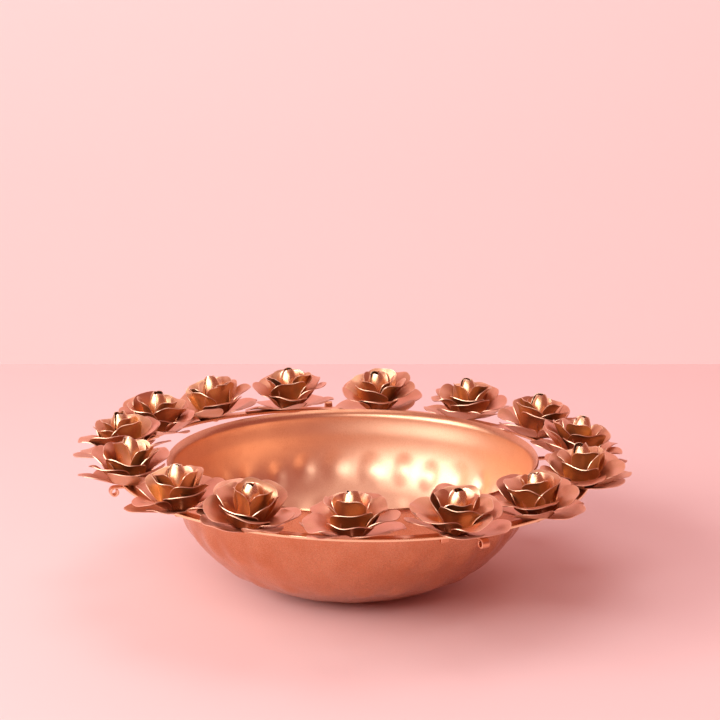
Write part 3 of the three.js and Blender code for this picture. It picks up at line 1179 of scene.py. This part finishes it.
@dataclass
class RoseGarland:
    """The fifteen roses on the ring."""

    ring: FlowerRing
    sheet: float = 0.4 * MM
    height: float = 26.8 * MM
    pin_radius: float = 1.1 * MM
    pin_head_radius: float = 2.4 * MM
    pin_head_height: float = 1.0 * MM
    pin_shoulder: float = 9.0 * MM
    pin_top: float = 9.4 * MM
    peen_gap: float = 0.3 * MM
    nod_start: float = 5.0 * MM
    presses: dict[str, PetalPress] = field(default_factory=dict)

    def rose_frame(self, setting: RoseSetting) -> Matrix:
        """Finds a rose's own frame.

        Args:
            setting: how the rose was set.

        Returns:
            The frame: +X points away from the bowl, and the origin is the top of the ring at its pin.
        """
        turn = Matrix.Rotation(math.radians(setting.at), 4, "Z")
        step = Matrix.Translation((self.ring.radius, 0, self.ring.thickness))
        stretch = Matrix.Diagonal((1, 1, 1 + setting.tall * MM / self.height, 1))
        return self.ring.frame() @ turn @ step @ stretch

    def lean(self, setting: RoseSetting, hub: float) -> Form:
        """Makes the bend that leans a rose over.

        Args:
            setting: how the rose was set.
            hub: the height about which it turns.

        Returns:
            The bend: nothing moves at the hub, and all turns together further out.
        """
        away = Vector((setting.out, setting.round, 0)) * MM
        whole = math.asin(min(away.length / self.height, 1.0))
        axis = np.array([-away.y, away.x, 0.0]) / max(away.length, 1e-9)

        def form(points: np.ndarray) -> np.ndarray:
            """Turns every point about the hub by its share of the lean.

            Args:
                points: the vertices of an upright piece.

            Returns:
                The vertices of the leaning one.
            """
            arm = points - (0.0, 0.0, hub)
            angle = (whole * ease(np.linalg.norm(arm, axis=1), 1.0 * MM, 10.0 * MM))[:, None]
            turned = arm * np.cos(angle) + np.cross(axis, arm) * np.sin(angle)
            turned = turned + axis * (arm @ axis)[:, None] * (1.0 - np.cos(angle))
            return turned + (0.0, 0.0, hub)

        return form

    def nod(self, setting: RoseSetting, slope: float) -> Form:
        """Makes the bend that opens a rose towards the table's front.

        Args:
            setting: how the rose was set.
            slope: how steep the bend is, as a fall per length.

        Returns:
            The bend: petals fall before the pin and rise behind it.
        """
        front = math.radians(-90 - setting.at)
        ahead = np.array([math.cos(front), math.sin(front), 0.0])

        def form(points: np.ndarray) -> np.ndarray:
            """Moves every point up or down by its distance from the hub.

            Args:
                points: the vertices of a level piece.

            Returns:
                The vertices of the nodding one.
            """
            reach = np.hypot(points[:, 0], points[:, 1])
            share = np.maximum(reach - self.nod_start, 0.0) / np.maximum(reach, 1e-6)
            return points - np.outer(slope * share * (points @ ahead), (0.0, 0.0, 1.0))

        return form

    def disc(self, label: str, setting: RoseSetting, kind: PetalDisc, turn: float) -> bpy.types.Object:
        """Presses, joins and leans one disc of petals.

        Args:
            label: the rose's label.
            setting: how the rose was set.
            kind: the disc.
            turn: its turn on the pin, in degrees.

        Returns:
            The disc in place.
        """
        rng = random.Random(f"{label}-{kind.key}")
        press = self.presses[kind.key]
        lift = math.degrees(math.asin((setting.lift - 2.0) * MM / kind.length)) if kind is SPREAD else 0.0
        hand = rng.choice((-1, 1))
        petals = []
        for i in range(kind.count):
            way = math.radians(turn) + math.tau * i / kind.count
            petal = press.petal(f"{label}_petal_{i}", rng, lift, hand)
            Bench.place(petal, Matrix.Rotation(way, 4, "Z"))
            petals.append(petal)
        piece = Bench.joined(petals, f"{label}_{kind.key}", 0.02 * MM)
        Bench.thicken(piece, self.sheet)
        Bench.place(piece, Matrix.Translation((0, 0, kind.hub)))
        Bench.press(piece, self.nod(setting, kind.nod))
        # Downward faces are marked deep: painted shade on the petals' undersides, added to each petal's
        # random tone.
        shaded_under = ease(-Bench.read(piece, "normal")[:, 2], -0.1, 0.3)
        Bench.mark(piece, "tone_and_shade", 0.45 * Bench.marked(piece, "tone_and_shade") + 0.7 * shaded_under)
        Bench.press(piece, self.lean(setting, kind.hub))
        Bench.place(piece, self.rose_frame(setting))
        Bench.smooth(piece, 50.0)
        return piece

    def pin(self) -> bpy.types.Object:
        """Turns the pin with its head peened over under the ring.

        Returns:
            The pin, with the top of the ring at the origin.
        """
        bottom = -self.ring.thickness - self.peen_gap
        head = self.pin_head_height
        outline = [
            (0.0, bottom - head),
            (0.55 * self.pin_head_radius, bottom - 0.92 * head),
            (0.9 * self.pin_head_radius, bottom - 0.6 * head),
            (self.pin_head_radius, bottom - 0.2 * head),
            (0.96 * self.pin_head_radius, bottom),
            (self.pin_radius, bottom),
            (self.pin_radius, self.pin_shoulder),
            (0.0, self.pin_top),
        ]
        piece = Bench.turned("rose_pin", outline, 20)
        points = Bench.read(piece, "co")
        Bench.mark(piece, "tone_and_shade", np.full(len(points), 0.4))
        Bench.mark(piece, "rim", 0.6 * (points[:, 2] < bottom - 0.5 * head))
        return piece

    def dress(self, dresser: Dresser) -> None:
        """Makes every rose and puts it into the frame.

        Args:
            dresser: gives the pieces their finishes.
        """
        kinds = (SPREAD, CUP, HEART, CORE)
        self.presses = {kind.key: PetalPress(kind) for kind in kinds}
        pin = self.pin()
        roller = BudRoller(height=self.height)
        for number, setting in enumerate(ROSES, 1):
            label = f"rose_{number:02d}"
            finishes = (Finish.OUTER, Finish.OUTER, Finish.INNER, Finish.INNER)
            nodes = (("outer_petals",), (), ("inner_petals",), ())
            for kind, turn, finish, names in zip(kinds, setting.turns, finishes, nodes):
                piece = self.disc(label, setting, kind, turn)
                dresser.dress(piece, finish, *(f"{label}_{name}" for name in names))
            bud = roller.roll(f"{label}_rolled_bud", random.Random(f"{label}-bud"))
            Bench.press(bud, self.lean(setting, CORE.hub))
            Bench.place(bud, self.rose_frame(setting))
            Bench.smooth(bud, 60.0)
            dresser.dress(bud, Finish.BUD, f"{label}_bud")
            shank = Bench.copy(pin, f"{label}_pin")
            Bench.place(shank, self.rose_frame(replace(setting, tall=0)))
            Bench.smooth(shank)
            dresser.dress(shank, Finish.BUD)
        for press in self.presses.values():
            press.scrap()
        bpy.data.objects.remove(pin)


# --- The studio ---------------------------------------------------------------------------------------------

Shade = tuple[float, float, float]
Place = tuple[float, float, float]

DAYLIGHT: Shade = (1.0, 0.97, 0.96)
CEILING_LIGHT: Shade = (1.0, 0.97, 0.95)
ROOM: Colour = (1.0, 0.33, 0.30, 1.0)


@dataclass
class Studio:
    """A pale painted table with a pale wall well behind it, lit by soft windows, and the camera."""

    table_front: float = -4.0
    table_back: float = 0.587
    table_drop: float = 0.72
    wall_at: float = 1.75
    wall_top: float = 4.0
    wall_glow: float = 0.28
    width: float = 6.0
    table_paint: Colour = (0.95, 0.715, 0.715, 1.0)
    wall_paint: Colour = (0.95, 0.675, 0.67, 1.0)
    room_strength: float = 0.43
    aim: Place = (0.0, 0.0, 0.06)
    camera_place: Place = (0.0046, -1.3239, 0.4552)
    camera_pitch: float = 13.29
    lens: float = 110.9

    def card(self, name: str, path: tuple[tuple[float, float], ...], paint: Colour, glow: float) -> None:
        """Bends one painted sheet along a path that is seen from the side.

        Args:
            name: the sheet's name.
            path: the corners of the path, each as Y and Z.
            paint: its colour.
            glow: how brightly the sheet is lit from behind.
        """
        piece = Bench.sheet(name, 8, 20 * (len(path) - 1))
        corners = np.array(path)

        def form(points: np.ndarray) -> np.ndarray:
            """Lays the sheet along the path.

            Args:
                points: the flat sheet's vertices.

            Returns:
                The bent sheet's vertices.
            """
            share = points[:, 1] * (len(path) - 1)
            y, z = (np.interp(share, np.arange(len(path)), corners[:, axis]) for axis in (0, 1))
            return np.column_stack([(points[:, 0] - 0.5) * self.width, y, z])

        Bench.press(piece, form)
        piece.data.materials.append(PaintedCard(f"{name}_paint", paint, glow).build())

    def light(self, name: str, place: Place, size: tuple[float, float], power: float, colour: Shade) -> None:
        """Hangs a soft light that faces the bowl.

        Args:
            name: the light's name.
            place: where it hangs.
            size: its width and height.
            power: its power in watts.
            colour: its colour.
        """
        data = bpy.data.lights.new(name, "AREA")
        data.shape = "RECTANGLE"
        data.size, data.size_y = size
        data.energy = power
        data.color = colour
        lamp = bpy.data.objects.new(name, data)
        bpy.context.scene.collection.objects.link(lamp)
        lamp.location = place
        lamp.rotation_euler = (Vector(self.aim) - Vector(place)).to_track_quat("-Z", "Y").to_euler()

    def surroundings(self) -> None:
        """Fills the room with a dim warm light."""
        world = bpy.data.worlds.new("room")
        world.use_nodes = True
        backdrop = world.node_tree.nodes["Background"]
        backdrop.inputs["Color"].default_value = ROOM
        backdrop.inputs["Strength"].default_value = self.room_strength
        bpy.context.scene.world = world

    def camera(self) -> None:
        """Sets up the camera."""
        data = bpy.data.cameras.new("studio_camera")
        data.lens = self.lens
        data.sensor_width = 36.0
        data.clip_start = 0.05
        shooter = bpy.data.objects.new("studio_camera", data)
        bpy.context.scene.collection.objects.link(shooter)
        shooter.location = self.camera_place
        shooter.rotation_euler = (math.radians(90 - self.camera_pitch), 0, 0)
        bpy.context.scene.camera = shooter

    def build(self) -> None:
        """Sets the whole studio."""
        table = ((self.table_front, 0.0), (self.table_back, 0.0), (self.table_back, -self.table_drop))
        wall = ((self.wall_at, -self.table_drop), (self.wall_at, self.wall_top))
        self.card("table", table, self.table_paint, 0.0)
        self.card("wall", wall, self.wall_paint, self.wall_glow)
        self.light("window", (-1.78, -0.65, 1.12), (1.5, 1.4), 32.0, DAYLIGHT)
        self.light("side_window", (-0.95, -1.35, 1.0), (1.0, 0.9), 9.5, DAYLIGHT)
        self.light("front_window", (-0.45, -1.8, 1.4), (1.4, 0.8), 9.0, DAYLIGHT)
        self.light("ceiling", (0.2, 0.2, 2.2), (1.3, 1.3), 8.0, CEILING_LIGHT)
        self.surroundings()
        self.camera()
        bpy.context.scene.view_settings.view_transform = "Standard"
        bpy.context.scene.view_settings.look = "None"


def main() -> None:
    """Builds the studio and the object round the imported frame."""
    logging.basicConfig(level=logging.INFO, format="%(name)s: %(message)s")
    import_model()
    Studio().build()
    dresser = Dresser()
    ring = FlowerRing()
    Bowl().dress(dresser)
    ring.dress(dresser)
    arms = (
        Arm("arm_front", -60.5, Roll.DOWN, ring),
        Arm("arm_right", 18, Roll.DOWN, ring),
        Arm("arm_rear", 96.5, Roll.UP, ring),
        Arm("arm_left", 199, Roll.DOWN, ring),
    )
    for arm in arms:
        arm.dress(dresser)
    RoseGarland(ring).dress(dresser)


if __name__ == "__main__":
    main()
